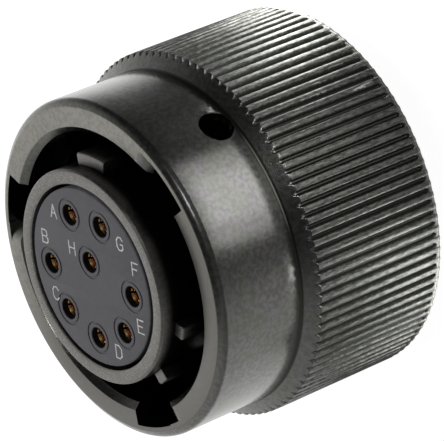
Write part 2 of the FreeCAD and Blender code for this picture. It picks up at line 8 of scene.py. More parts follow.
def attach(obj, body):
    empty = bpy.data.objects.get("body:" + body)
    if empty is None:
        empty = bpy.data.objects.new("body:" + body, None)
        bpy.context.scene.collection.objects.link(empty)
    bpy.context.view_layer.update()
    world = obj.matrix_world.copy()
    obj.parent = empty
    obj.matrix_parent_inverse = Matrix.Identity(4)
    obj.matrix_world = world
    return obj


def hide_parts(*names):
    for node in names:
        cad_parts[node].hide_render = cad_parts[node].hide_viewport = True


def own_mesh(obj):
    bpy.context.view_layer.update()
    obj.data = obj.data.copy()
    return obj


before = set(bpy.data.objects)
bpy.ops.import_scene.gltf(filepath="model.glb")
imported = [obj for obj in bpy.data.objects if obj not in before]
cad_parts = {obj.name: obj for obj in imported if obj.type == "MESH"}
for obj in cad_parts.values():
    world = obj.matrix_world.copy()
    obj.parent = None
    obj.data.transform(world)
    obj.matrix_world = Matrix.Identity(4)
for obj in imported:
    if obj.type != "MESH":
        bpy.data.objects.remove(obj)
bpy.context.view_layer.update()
scene = bpy.context.scene
scene.view_settings.view_transform = "Standard"
print("stage: frame loaded")

# Shapes are worked out in millimetres, as in the part's source, and scaled once
metre = 0.001


def onCircle(radius, degrees, z):
    angle = math.radians(degrees)
    return (radius * math.cos(angle), radius * math.sin(angle), z)


def smooth(low, high, value):
    t = min(max((value - low) / (high - low), 0.0), 1.0)
    return t * t * (3.0 - 2.0 * t)


def joinLoops(bm, loops):
    for lower, upper in zip(loops, loops[1:]):
        for i in range(len(lower)):
            j = (i + 1) % len(lower)
            bm.faces.new((lower[i], lower[j], upper[j], upper[i]))


def lathe(bm, profile, angles, closed=False):
    rings = [[bm.verts.new(onCircle(r, a, z)) for a in angles] for r, z in profile]
    joinLoops(bm, rings + rings[:1] if closed else rings)


def evenAngles(count, start=0.0):
    return [start + 360.0 * i / count for i in range(count)]


def plainObject(name, bm):
    bmesh.ops.recalc_face_normals(bm, faces=bm.faces)
    mesh = bpy.data.meshes.new(name)
    bm.to_mesh(mesh)
    bm.free()
    obj = bpy.data.objects.new(name, mesh)
    scene.collection.objects.link(obj)
    return obj


def asObject(name, bm, sharp=32.0):
    obj = plainObject(name, bm)
    obj.data.transform(Matrix.Scale(metre, 4))
    for polygon in obj.data.polygons:
        polygon.use_smooth = True
    obj.data.set_sharp_from_angle(angle=math.radians(sharp))
    return obj


def cutOut(target, cutters):
    for cutter in cutters:
        modifier = target.modifiers.new("cut", "BOOLEAN")
        modifier.operation = "DIFFERENCE"
        modifier.solver = "EXACT"
        modifier.object = cutter
    bpy.context.view_layer.update()
    graph = bpy.context.evaluated_depsgraph_get()
    mesh = bpy.data.meshes.new_from_object(target.evaluated_get(graph))
    for item in [target] + cutters:
        bpy.data.objects.remove(item)
    return mesh


# Coupling ring: the part in front of the knurl, with slots, tracks and sight holes
ring = {
    "front": 20.8,
    "foot": 14.05,
    "rear": 2.75,
    "columns": 364,
    "bandRadius": 11.92,
    "reliefDepth": 0.07,
    "reliefEnd": 14.2,
    "noseRadius": 11.37,
    "bevelStart": 20.38,
    "bandRows": (15.4, 17.0, 18.6),
    "lipRadius": 9.6,
    "lipChamfer": 0.45,
    "lipRow": 17.6,
    "slotRadius": 11.1,
    "slotDepth": 3.95,
    "slotWidth": 20.2,
    "slotDirection": 47.05,
    "trackRadius": 11.03,
    "trackWidth": 2.3,
    "trackEntry": 2.35,
    "trackEnd": 5.45,
    "trackSweep": 98.85,
    "trackRunOn": 6.0,
    "rampAngle": 8.0,
    "rampOverlap": 0.4,
    "rampDrop": 0.8,
    "rampCurve": 2.2,
    "cutterInner": 9.2,
    "cutterAbove": 1.0,
    "cutterStep": 0.01,
    "seatRadius": 1.25,
    "sightRadius": 1.2,
    "chamberRadius": 11.05,
    "chamberFront": 9.65,
    "snapRadius": 11.6,
    "snapRear": 3.85,
    "snapFront": 4.85,
    "knurlRadius": 13.0,
    "knurlTeeth": 104,
    "knurlRear": 3.08,
    "coneRear": 13.25,
    "coneLength": 0.8,
}
toothWidth = 2 * math.pi * ring["knurlRadius"] / ring["knurlTeeth"]


def sectorCutter(name, start, end, inner, outer, lower, upper, steps):
    # lower and upper give the two heights at a place from 0 to 1 along the sector
    bm = bmesh.new()
    sections = []
    for i in range(steps + 1):
        place = i / steps
        angle = start + (end - start) * place
        sections.append([
            bm.verts.new(onCircle(inner, angle, lower(place))),
            bm.verts.new(onCircle(outer, angle, lower(place))),
            bm.verts.new(onCircle(outer, angle, upper(place))),
            bm.verts.new(onCircle(inner, angle, upper(place))),
        ])
    joinLoops(bm, sections)
    bm.faces.new(sections[0])
    bm.faces.new(sections[-1])
    return plainObject(name, bm)


def radialCutter(name, direction, height, radius, inner, outer, count=40):
    bm = bmesh.new()
    turn = Matrix.Rotation(math.radians(direction), 4, "Z")
    ends = []
    for distance in (inner, outer):
        loop = []
        for i in range(count):
            angle = 2 * math.pi * i / count
            point = Vector((distance, radius * math.cos(angle), height + radius * math.sin(angle)))
            loop.append(bm.verts.new(turn @ point))
        ends.append(loop)
    joinLoops(bm, ends)
    bm.faces.new(ends[0])
    bm.faces.new(ends[1])
    return plainObject(name, bm)


def frontProfile():
    chamfer = ring["lipChamfer"]
    band = ring["bandRadius"]
    relief = ring["bandRadius"] - ring["reliefDepth"]
    front = ring["front"]
    bevel = ring["bevelStart"]
    nose = ring["noseRadius"]
    lip = ring["lipRadius"]
    return [
        (relief, ring["foot"]),
        (relief, ring["reliefEnd"]),
        (band - 0.02, ring["reliefEnd"] + 0.05),
        (band, ring["reliefEnd"] + 0.1),
        *[(band, z) for z in ring["bandRows"]],
        (band, bevel - 0.1),
        (band - 0.015, bevel - 0.01),
        (band - 0.075, bevel + 0.1),
        (band - 0.19, bevel + 0.22),
        (nose + 0.2, front - 0.11),
        (nose + 0.06, front - 0.03),
        (nose + 0.015, front - 0.006),
        (nose - 0.03, front),
        (lip + chamfer + 0.02, front),
        (lip + chamfer - 0.02, front - 0.012),
        (lip + 0.03, front - chamfer + 0.02),
        (lip, front - chamfer - 0.02),
        (lip, ring["lipRow"]),
        (lip, ring["foot"]),
    ]


def ringCutters():
    cutters = []
    front = ring["front"]
    half = ring["trackWidth"] / 2
    inner = ring["cutterInner"]
    above = front + ring["cutterAbove"]
    track = ring["trackRadius"]
    step = ring["cutterStep"]
    overlap = ring["rampOverlap"]
    for third in range(3):
        middle = ring["slotDirection"] + 120.0 * third
        start = middle - ring["slotWidth"] / 2
        end = middle + ring["slotWidth"] / 2
        floor = front - ring["slotDepth"]
        cutters.append(sectorCutter(
            f"slot{third}", start, end, inner, ring["slotRadius"],
            lambda place: floor, lambda place: above, 16))
        fall = ring["trackEnd"] - ring["trackEntry"]
        runOn = ring["trackRunOn"] / ring["trackSweep"]

        def centre(place):
            return front - ring["trackEntry"] + fall * (runOn - place * (1 + runOn))

        cutters.append(sectorCutter(
            f"track{third}", start + ring["trackRunOn"], start - ring["trackSweep"], inner, track,
            lambda place: centre(place) - half, lambda place: centre(place) + half, 72))

        # A lead-in falls gently from the front face and then ever more towards its slot
        def rampHeight(place):
            fallen = ring["rampDrop"] * abs(1.05 - place * 1.1) ** ring["rampCurve"]
            return front - fallen if place < 0.95 else front + 0.02 * (place - 0.9)

        cutters.append(sectorCutter(
            f"ramp{third}", end - overlap, end + ring["rampAngle"] + overlap, inner, track + step,
            rampHeight, lambda place: above, 16))
        lock = start - ring["trackSweep"]
        height = front - ring["trackEnd"]
        cutters.append(radialCutter(f"seat{third}", lock, height, ring["seatRadius"], inner, track - step))
        cutters.append(radialCutter(
            f"sight{third}", lock, height, ring["sightRadius"], inner, ring["knurlRadius"]))
    return cutters


# Knurl: places are distances from a groove's middle, rows and steps are heights
knurl = {
    "places": (0.0, 0.045, 0.095, 0.15, 0.2, 0.23, 0.28, 0.34),
    "mouthHalf": 0.2,
    "rootHalf": 0.045,
    "depth": 0.22,
    "crown": 0.03,
    "rounding": 0.05,
    "edgeDrop": 0.02,
    "endRadius": 0.3,
    "endSteepness": 1.3,
    "rimChamfer": 0.14,
    "rimSlope": 0.35,
    "coneBlend": 0.06,
    "coneReach": 0.5,
    "rimRows": (2.79, 2.84, 2.9, 2.97, 3.03),
    "endSteps": (0.0, 0.02, 0.05, 0.09, 0.13, 0.18, 0.25, 0.32),
    "landRows": (3.8, 5.5, 8.0, 10.5, 12.3, 12.8, 12.95, 13.05, 13.13, 13.19),
    "coneRows": (13.25, 13.31, 13.38, 13.45, 13.52, 13.6, 13.75, 13.9, 13.99, 14.02),
}


def toothPlaces():
    left = [-place for place in knurl["places"][1:]]
    return sorted(left + list(knurl["places"])) + [toothWidth / 2]


def knurlRows():
    ends = [ring["knurlRear"] + step for step in knurl["endSteps"]]
    return [ring["rear"], *knurl["rimRows"], *ends, *knurl["landRows"], *knurl["coneRows"]]


def coneRadius(z):
    drop = (z - ring["coneRear"]) / ring["coneLength"]
    foot = ring["bandRadius"] - ring["reliefDepth"]
    return ring["knurlRadius"] - (ring["knurlRadius"] - foot) * min(max(drop, 0.0), 1.0)


def grooveDepth(place, z):
    # The groove's rear end is round in plan, like the end of a cutter's run
    behind = ring["knurlRear"] + knurl["endRadius"] - z
    narrowing = 1.0
    if behind > 0:
        part = min(behind / knurl["endRadius"], 1.0)
        narrowing = math.sqrt(max(1.0 - part * part, 0.0))
    if narrowing <= 0.0:
        return 0.0
    width = knurl["mouthHalf"] * narrowing
    flat = knurl["rootHalf"] * narrowing
    side = (width - abs(place)) / (width - flat)
    side = min(max(side, 0.0), 1.0)
    return knurl["depth"] * side * min(narrowing * knurl["endSteepness"], 1.0)


def knurlRadiusAt(place, z):
    # Lands are rounded towards the grooves and towards the cone
    land = ring["knurlRadius"]
    edge = abs(place) - knurl["mouthHalf"]
    shoulder = knurl["rounding"]
    half = toothWidth / 2
    off = min((half - abs(place)) / (half - knurl["mouthHalf"]), 1.0)
    land -= knurl["crown"] * off * off
    if edge < shoulder:
        land -= knurl["edgeDrop"] * (1.0 - smooth(-knurl["edgeDrop"], shoulder, edge))
    rim = z - ring["rear"]
    if rim < knurl["rimChamfer"]:
        land -= knurl["rimSlope"] * (knurl["rimChamfer"] - rim)
    radius = land - grooveDepth(place, z)
    if z > ring["coneRear"] - knurl["coneReach"]:
        cone = coneRadius(z)
        blend = knurl["coneBlend"]
        low = min(radius, cone)
        near = max(blend - abs(radius - cone), 0.0) / blend
        return low - near * near * blend * 0.25
    return radius


def makeRingPiece():
    angles = evenAngles(ring["columns"])
    bm = bmesh.new()
    lathe(bm, frontProfile(), angles, closed=True)
    body = plainObject("ringFront", bm)
    mesh = cutOut(body, ringCutters())
    print("stage: ring cut,", len(mesh.polygons), "faces")

    bm = bmesh.new()
    bm.from_mesh(mesh)
    foot = ring["foot"]
    gone = [f for f in bm.faces if all(abs(v.co.z - foot) < 1e-4 for v in f.verts)]
    bmesh.ops.delete(bm, geom=gone, context="FACES")

    places = toothPlaces()
    period = 360.0 / ring["knurlTeeth"]
    perMillimetre = period / (2 * places[-1])
    columns = []
    for tooth in range(ring["knurlTeeth"]):
        for place in places:
            columns.append((tooth * period + place * perMillimetre, place))
    start = places.index(0.0)
    columns = columns[start:] + [(a + 360.0, p) for a, p in columns[:start]]
    grid = []
    for z in knurlRows():
        grid.append([bm.verts.new(onCircle(knurlRadiusAt(place, z), angle, z)) for angle, place in columns])
    joinLoops(bm, grid)

    # Fans join the knurl's many columns to the few columns in front of and inside it
    relief = ring["bandRadius"] - ring["reliefDepth"]
    inside = [
        (relief, foot),
        (ring["chamberRadius"], ring["rear"]),
        (ring["chamberRadius"], ring["snapRear"]),
        (ring["snapRadius"], ring["snapRear"]),
        (ring["snapRadius"], ring["snapFront"]),
        (ring["chamberRadius"], ring["snapFront"]),
        (ring["chamberRadius"], ring["chamberFront"]),
        (ring["lipRadius"], ring["chamberFront"]),
        (ring["lipRadius"], foot),
    ]
    joins = [[bm.verts.new(onCircle(r, a, z)) for a in angles] for r, z in inside]

    # Each fan starts at the fine column that is nearest to its coarse angle
    count = len(columns)
    wanted = []
    pointer = 0
    for a in angles:
        while pointer + 1 < count and abs(columns[pointer + 1][0] - a) <= abs(columns[pointer][0] - a):
            pointer += 1
        wanted.append(pointer)
    for k in range(len(angles)):
        m = (k + 1) % len(angles)
        first = wanted[k]
        last = wanted[m] if m else count
        span = [i % count for i in range(first, last + 1)]
        bm.faces.new([grid[-1][i] for i in span] + [joins[0][m], joins[0][k]])
        bm.faces.new([grid[0][i] for i in reversed(span)] + [joins[1][k], joins[1][m]])
    joinLoops(bm, joins[1:])
    bmesh.ops.remove_doubles(bm, verts=bm.verts, dist=2e-4)
    return asObject("CouplingRing", bm, 28.0)


ringPiece = makeRingPiece()
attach(ringPiece, "coupling_ring")
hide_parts("coupling_ring")
print("stage: coupling ring,", len(ringPiece.data.polygons), "faces")

# Plug shell: barrel with keys, flange, neck and a real rear thread
shell = {
    "front": 22.28,
    "barrelRadius": 7.54,
    "boreRadius": 6.89,
    "chamfer": 0.15,
    "lipRadius": 6.52,
    "lipRear": 21.3,
    "innerChamfer": 0.14,
    "keyRadius": 8.4,
    "keyFront": 21.2,
    "masterDirection": 90.0,
    "masterAngle": 20.0,
    "minorTurns": (105.0, 140.0, 215.0, 265.0),
    "minorAngle": 7.0,
    "keyRounding": 0.12,
    "keyFoot": 0.12,
    "keySideParts": (0.0, 0.12, 0.35, 0.65, 1.0),
    "keyFrontParts": (1.0, 0.6, 0.3, 0.08, 0.0),
    "keyRows": (13.0, 17.0),
    "flangeRadius": 10.97,
    "flangeRear": 8.05,
    "flangeFront": 9.55,
    "neckRadius": 8.9,
    "threadRadius": 8.73,
    "threadChamfer": 0.45,
    "threadEnd": 4.6,
    "threadPitch": 1.058,
    "threadDepth": 0.6,
    "threadFlat": 0.12,
    "threadRunOut": 0.7,
    "threadRows": 12,
    "rearBore": 7.45,
    "rearChamfer": 0.12,
    "snapRear": 1.05,
    "snapFront": 2.0,
    "snapRadius": 7.8,
    "stopRear": 18.08,
    "stopFront": 19.08,
    "stopRadius": 6.5,
    "columns": 360,
}


def shellKeys():
    keys = [(shell["masterDirection"], shell["masterAngle"] / 2)]
    for turn in shell["minorTurns"]:
        keys.append((shell["masterDirection"] - turn, shell["minorAngle"] / 2))
    return keys


def keyRise(angle, z):
    # Radius of a key's outside at this place, or of the barrel where there is none
    barrel = shell["barrelRadius"]
    if z > shell["keyFront"] + 1e-6:
        return barrel
    rounding = math.degrees(shell["keyRounding"] / shell["keyRadius"])
    for direction, half in shellKeys():
        off = abs((angle - direction + 180.0) % 360.0 - 180.0)
        if off <= half + 1e-6:
            inside = min((half - off) / rounding, 1.0)
            drop = shell["keyRounding"] * (1.0 - math.sqrt(max(1.0 - (1.0 - inside) ** 2, 0.0)))
            ahead = max(z - (shell["keyFront"] - shell["keyRounding"]), 0.0)
            part = min(ahead / shell["keyRounding"], 1.0)
            drop += shell["keyRounding"] * (1.0 - math.sqrt(max(1.0 - part * part, 0.0)))
            return shell["keyRadius"] - drop
    return barrel


def threadRadiusAt(angle, z):
    phase = (z / shell["threadPitch"] - angle / 360.0) % 1.0
    ridge = abs(phase - 0.5) * 2.0
    flat = shell["threadFlat"]
    depth = shell["threadDepth"] * min(max((ridge - flat) / (1.0 - 2.0 * flat), 0.0), 1.0)
    depth *= 1.0 - smooth(shell["threadEnd"] - shell["threadRunOut"], shell["threadEnd"], z)
    top = shell["threadRadius"] - max(shell["threadChamfer"] - z, 0.0)
    return min(top, shell["threadRadius"] - depth)


def makeShellPiece():
    rounding = math.degrees(shell["keyRounding"] / shell["keyRadius"])
    angles = set(evenAngles(shell["columns"]))
    for direction, half in shellKeys():
        for side in (-1, 1):
            edge = direction + side * half
            angles.add((edge + side * shell["keyFoot"]) % 360.0)
            for part in shell["keySideParts"]:
                angles.add((edge - side * rounding * part) % 360.0)
    angles = sorted(angles)
    rows = []
    step = shell["threadPitch"] / shell["threadRows"]
    for i in range(int(shell["threadEnd"] / step) + 1):
        rows.append((threadRadiusAt, i * step))
    neck = shell["neckRadius"]
    flange = shell["flangeRadius"]
    barrel = shell["barrelRadius"]
    front = shell["front"]
    chamfer = shell["chamfer"]
    inner = shell["innerChamfer"]
    lip = shell["lipRadius"]
    keyFront = shell["keyFront"]
    plain = [
        (threadRadiusAt, shell["threadEnd"]),
        (neck, shell["threadEnd"]),
        (neck, shell["flangeRear"]),
        (flange - 0.05, shell["flangeRear"]),
        (flange, shell["flangeRear"] + 0.05),
        (flange, shell["flangeFront"] - 0.05),
        (flange - 0.05, shell["flangeFront"]),
        (shell["keyRadius"] + 0.2, shell["flangeFront"]),
        (keyRise, shell["flangeFront"]),
        *[(keyRise, z) for z in shell["keyRows"]],
        *[(keyRise, keyFront - shell["keyRounding"] * part) for part in shell["keyFrontParts"]],
        (barrel, keyFront + 0.001),
        (barrel, front - chamfer - 0.03),
        (barrel - 0.02, front - chamfer + 0.04),
        (barrel - chamfer + 0.04, front - 0.02),
        (barrel - chamfer - 0.03, front),
        (lip + inner + 0.03, front),
        (lip + inner - 0.04, front - 0.02),
        (lip + 0.02, front - inner * 0.7 + 0.04),
        (lip, front - inner * 0.7 - 0.03),
        (lip, shell["lipRear"]),
        (shell["boreRadius"], shell["lipRear"]),
        (shell["boreRadius"], shell["stopFront"]),
        (shell["stopRadius"], shell["stopFront"]),
        (shell["stopRadius"], shell["stopRear"]),
        (shell["boreRadius"], shell["stopRear"]),
        (shell["boreRadius"], shell["flangeFront"]),
        (shell["rearBore"], shell["flangeFront"]),
        (shell["rearBore"], shell["snapFront"]),
        (shell["snapRadius"], shell["snapFront"]),
        (shell["snapRadius"], shell["snapRear"]),
        (shell["rearBore"], shell["snapRear"]),
        (shell["rearBore"], shell["rearChamfer"]),
        (shell["rearBore"] + shell["rearChamfer"], 0.0),
    ]
    bm = bmesh.new()
    grid = []
    for radius, z in rows + plain:
        line = []
        for angle in angles:
            value = radius(angle, z) if callable(radius) else radius
            line.append(bm.verts.new(onCircle(value, angle, z)))
        grid.append(line)
    joinLoops(bm, grid + grid[:1])
    bmesh.ops.remove_doubles(bm, verts=bm.verts, dist=1e-4)
    return asObject("PlugBarrel", bm, 30.0)


shellPiece = makeShellPiece()
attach(shellPiece, "root")
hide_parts("plug_shell")
print("stage: plug shell,", len(shellPiece.data.polygons), "faces")

# Insert: hard plastic face with eight holes, each inside a fine round groove
insert = {
    "face": 22.24,
    "faceRadius": 6.26,
    "bodyRadius": 6.87,
    "rear": 12.05,
    "edge": 0.08,
    "holeRadius": 0.725,
    "grooveInner": 1.0,
    "grooveOuter": 1.16,
    "grooveDepth": 0.07,
    "places": {
        "A": (-1.65, 4.08),
        "B": (-4.4, -0.15),
        "C": (-3.06, -3.16),
        "D": (0.0, -4.4),
        "E": (3.06, -3.16),
        "F": (4.4, -0.15),
        "G": (1.65, 4.08),
        "H": (0.0, 1.1),
    },
    "holeSides": 64,
    "rimSides": 240,
    "holeShadeStart": 0.024,
    "holeShadeSlack": 0.01,
    "rearSlack": 0.1,
}


def addLoop(spline, centre, radius, sides):
    spline.points.add(sides - 1)
    for i in range(sides):
        angle = 2 * math.pi * i / sides
        x = centre[0] + radius * math.cos(angle)
        y = centre[1] + radius * math.sin(angle)
        spline.points[i].co = (x, y, 0.0, 1.0)
    spline.use_cyclic_u = True


def filledPlate(radius, holeRadius):
    curve = bpy.data.curves.new("plate", "CURVE")
    curve.dimensions = "2D"
    curve.fill_mode = "BOTH"
    addLoop(curve.splines.new("POLY"), (0.0, 0.0), radius, insert["rimSides"])
    for place in insert["places"].values():
        addLoop(curve.splines.new("POLY"), place, holeRadius, insert["holeSides"])
    holder = bpy.data.objects.new("plate", curve)
    scene.collection.objects.link(holder)
    bpy.context.view_layer.update()
    graph = bpy.context.evaluated_depsgraph_get()
    mesh = bpy.data.meshes.new_from_object(holder.evaluated_get(graph))
    bpy.data.objects.remove(holder)
    return mesh


def addPlate(bm, mesh, z):
    verts = [bm.verts.new((v.co.x, v.co.y, z)) for v in mesh.vertices]
    for polygon in mesh.polygons:
        bm.faces.new([verts[i] for i in polygon.vertices])


def makeInsertPiece():
    bm = bmesh.new()
    face = insert["face"]
    outer = insert["grooveOuter"]
    inner = insert["grooveInner"]
    floor = face - insert["grooveDepth"]
    hole = insert["holeRadius"]
    profile = [
        (outer + 0.02, face),
        (outer + 0.006, face - 0.012),
        (outer, face - 0.02),
        (outer, floor),
        (inner, floor),
        (inner, face - 0.02),
        (inner - 0.006, face - 0.012),
        (inner - 0.02, face),
        (hole + 0.06, face),
        (hole + 0.02, face - 0.03),
        (hole, face - 0.05),
        (hole, insert["rear"]),
    ]
    angles = evenAngles(insert["holeSides"])
    for x, y in insert["places"].values():
        for lower, upper in zip(profile, profile[1:]):
            pair = []
            for r, z in (lower, upper):
                ringVerts = []
                for a in angles:
                    px, py, pz = onCircle(r, a, z)
                    ringVerts.append(bm.verts.new((px + x, py + y, pz)))
                pair.append(ringVerts)
            joinLoops(bm, pair)
    edge = insert["edge"]
    rim = insert["faceRadius"]
    addPlate(bm, filledPlate(rim - edge - 0.03, outer + 0.02), face)
    outside = [
        (rim - edge - 0.03, face),
        (rim - edge + 0.02, face - 0.015),
        (rim - 0.015, face - edge + 0.02),
        (rim, face - edge - 0.03),
        (rim, shell["stopRear"]),
        (insert["bodyRadius"], shell["stopRear"]),
        (insert["bodyRadius"], insert["rear"]),
    ]
    lathe(bm, outside, evenAngles(insert["rimSides"]))
    addPlate(bm, filledPlate(insert["bodyRadius"], hole), insert["rear"])
    bmesh.ops.remove_doubles(bm, verts=bm.verts, dist=2e-4)
    return asObject("FrontInsert", bm, 30.0)


insertPiece = makeInsertPiece()
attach(insertPiece, "root")
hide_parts("front_insert")
print("stage: insert,", len(insertPiece.data.polygons), "faces")

# Position letters: thin strokes of paint on the insert's face, on a grid of 4 by 6
letters = {
    "height": 0.95,
    "width": 0.62,
    "stroke": 0.1,
    "overlap": 0.04,
    "lift": 0.004,
    "liftPerStroke": 0.00005,
    "places": {
        "A": (-3.45, 3.90),
        "B": (-4.78, 1.73),
        "C": (-4.33, -2.34),
        "D": (2.18, -4.80),
        "E": (4.98, -2.15),
        "F": (5.07, 1.96),
        "G": (3.69, 3.44),
        "H": (-1.79, 1.68),
    },
    "strokes": {
        "A": (((0, 0), (2, 6), (4, 0)), ((0.8, 2.2), (3.2, 2.2))),
        "B": (((0, 0), (0, 6), (2.6, 6), (3.6, 5.4), (3.6, 3.8), (2.6, 3.1), (0, 3.1)),
              ((2.6, 3.1), (3.9, 2.3), (3.9, 0.8), (2.8, 0), (0, 0))),
        "C": (((4, 1.3), (3, 0.1), (1.2, 0.1), (0, 1.6), (0, 4.4), (1.2, 5.9), (3, 5.9), (4, 4.7)),),
        "D": (((0, 0), (0, 6), (2.4, 6), (4, 4.6), (4, 1.4), (2.4, 0), (0, 0)),),
        "E": (((4, 6), (0, 6), (0, 0), (4, 0)), ((0, 3.1), (3.2, 3.1))),
        "F": (((4, 6), (0, 6), (0, 0)), ((0, 3.1), (3.2, 3.1))),
        "G": (((4, 4.7), (3, 5.9), (1.2, 5.9), (0, 4.4), (0, 1.6), (1.2, 0.1), (3, 0.1), (4, 1.2),
               (4, 2.8), (2.4, 2.8)),),
        "H": (((0, 0), (0, 6)), ((4, 0), (4, 6)), ((0, 3.1), (4, 3.1))),
    },
}


def makeLetters():
    bm = bmesh.new()
    z = insert["face"] + letters["lift"]
    half = letters["stroke"] / 2
    for letter, (x, y) in letters["places"].items():
        for stroke in letters["strokes"][letter]:
            points = []
            for u, v in stroke:
                points.append(Vector((
                    x + (u / 4 - 0.5) * letters["width"],
                    y + (v / 6 - 0.5) * letters["height"])))
            for a, b in zip(points, points[1:]):
                along = (b - a).normalized()
                side = Vector((-along.y, along.x)) * half
                a = a - along * letters["overlap"]
                b = b + along * letters["overlap"]
                corners = [a - side, b - side, b + side, a + side]
                bm.faces.new([bm.verts.new((c.x, c.y, z)) for c in corners])
                z += letters["liftPerStroke"]
    return asObject("PositionLetters", bm)


letterPiece = makeLetters()
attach(letterPiece, "root")
print("stage: letters")


# Socket contacts: gold sockets with a flared mouth, two tines and a crimp barrel
contact = {
    "front": 21.8,
    "slitEnd": 16.36,
    "floor": 15.06,
    "shoulderFront": 12.05,
    "shoulderRear": 11.35,
    "rear": 5.35,
    "crimpFloor": 9.55,
    "bore": 0.52,
    "mouth": 0.65,
    "mouthDepth": 0.24,
    "axisGap": 0.02,
    "outer": 0.7,
    "shoulder": 0.95,
    "crimp": 0.82,
    "slitHalf": 7.5,
    "sides": 40,
}


def shifted(bm, profile, angles, centre, closed):
    before = set(bm.verts)
    lathe(bm, profile, angles, closed)
    for vert in bm.verts:
        if vert not in before:
            vert.co.x += centre[0]
            vert.co.y += centre[1]


def addTine(bm, profile, start, end, centre, steps=18):
    sections = []
    for i in range(steps + 1):
        angle = start + (end - start) * i / steps
        points = [onCircle(r, angle, z) for r, z in profile]
        sections.append([bm.verts.new((x + centre[0], y + centre[1], z)) for x, y, z in points])
    joinLoops(bm, sections)
    bm.faces.new(sections[0])
    bm.faces.new(sections[-1])


def makeContacts():
    front = contact["front"]
    bore = contact["bore"]
    outer = contact["outer"]
    tine = [
        (bore, contact["slitEnd"]),
        (bore, front - contact["mouthDepth"]),
        (bore + 0.015, front - 0.17),
        (contact["mouth"] - 0.015, front - 0.03),
        (contact["mouth"] + 0.01, front),
        (outer - 0.03, front),
        (outer, front - 0.04),
        (outer, contact["slitEnd"]),
    ]
    barrel = [
        (bore, contact["slitEnd"]),
        (outer, contact["slitEnd"]),
        (outer, contact["shoulderFront"]),
        (contact["shoulder"], contact["shoulderFront"]),
        (contact["shoulder"], contact["shoulderRear"]),
        (contact["crimp"], contact["shoulderRear"]),
        (contact["crimp"], contact["rear"]),
        (bore, contact["rear"]),
        (bore, contact["crimpFloor"]),
        (contact["axisGap"], contact["crimpFloor"]),
        (contact["axisGap"], contact["floor"]),
        (bore, contact["floor"]),
    ]
    gap = contact["slitHalf"]
    bm = bmesh.new()
    for centre in insert["places"].values():
        shifted(bm, barrel, evenAngles(contact["sides"]), centre, True)
        addTine(bm, tine, gap, 180.0 - gap, centre)
        addTine(bm, tine, 180.0 + gap, 360.0 - gap, centre)
    return asObject("SocketContacts", bm, 35.0)


contactPiece = makeContacts()
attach(contactPiece, "root")
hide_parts(*[f"socket_contact_{letter}" for letter in "abcdefgh"])
print("stage: contacts,", len(contactPiece.data.polygons), "faces")

# Wave spring: a bent strip with four waves
spring = {
    "inner": 9.23,
    "outer": 10.72,
    "thickness": 0.35,
    "rear": 5.85,
    "front": 8.05,
    "play": 0.03,
    "waves": 4,
    "columns": 192,
    "rounding": 0.05,
    "kept": 0.636,
}


def makeSpring():
    bm = bmesh.new()
    half = spring["thickness"] / 2
    swing = (spring["front"] - spring["rear"]) / 2 - spring["play"] - half
    middle = (spring["front"] + spring["rear"]) / 2
    edge = spring["rounding"]
    section = [
        (spring["inner"] + edge, -half),
        (spring["outer"] - edge, -half),
        (spring["outer"], -half + edge),
        (spring["outer"], half - edge),
        (spring["outer"] - edge, half),
        (spring["inner"] + edge, half),
        (spring["inner"], half - edge),
        (spring["inner"], -half + edge),
    ]
    rows = []
    for angle in evenAngles(spring["columns"]):
        lift = middle + swing * math.cos(spring["waves"] * math.radians(angle))
        rows.append([bm.verts.new(onCircle(r, angle, lift + z)) for r, z in section])
    joinLoops(bm, rows + rows[:1])
    return asObject("WaveSpring", bm, 40.0)


springPiece = makeSpring()
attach(springPiece, "root")
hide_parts("wave_spring")
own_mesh(springPiece)
print("stage: wave spring")


# Graph is what the materials and the world share: the nodes of one tree
class Graph:
    def __init__(self, tree):
        self.tree = tree

    def add(self, kind):
        return self.tree.nodes.new(kind)

    def join(self, value, socket):
        if isinstance(value, bpy.types.NodeSocket):
            self.tree.links.new(value, socket)
        elif isinstance(value, tuple) and len(socket.default_value) == 4:
            socket.default_value = (*value, 1.0)
        else:
            socket.default_value = value

    def calculate(self, operation, *values):
        node = self.add("ShaderNodeMath")
        node.operation = operation
        for value, socket in zip(values, node.inputs):
            self.join(value, socket)
        return node.outputs[0]

    def ramp(self, value, low, high, toLow=0.0, toHigh=1.0):
        node = self.add("ShaderNodeMapRange")
        node.interpolation_type = "SMOOTHSTEP"
        names = ("Value", "From Min", "From Max", "To Min", "To Max")
        for name, setting in zip(names, (value, low, high, toLow, toHigh)):
            self.join(setting, node.inputs[name])
        return node.outputs["Result"]


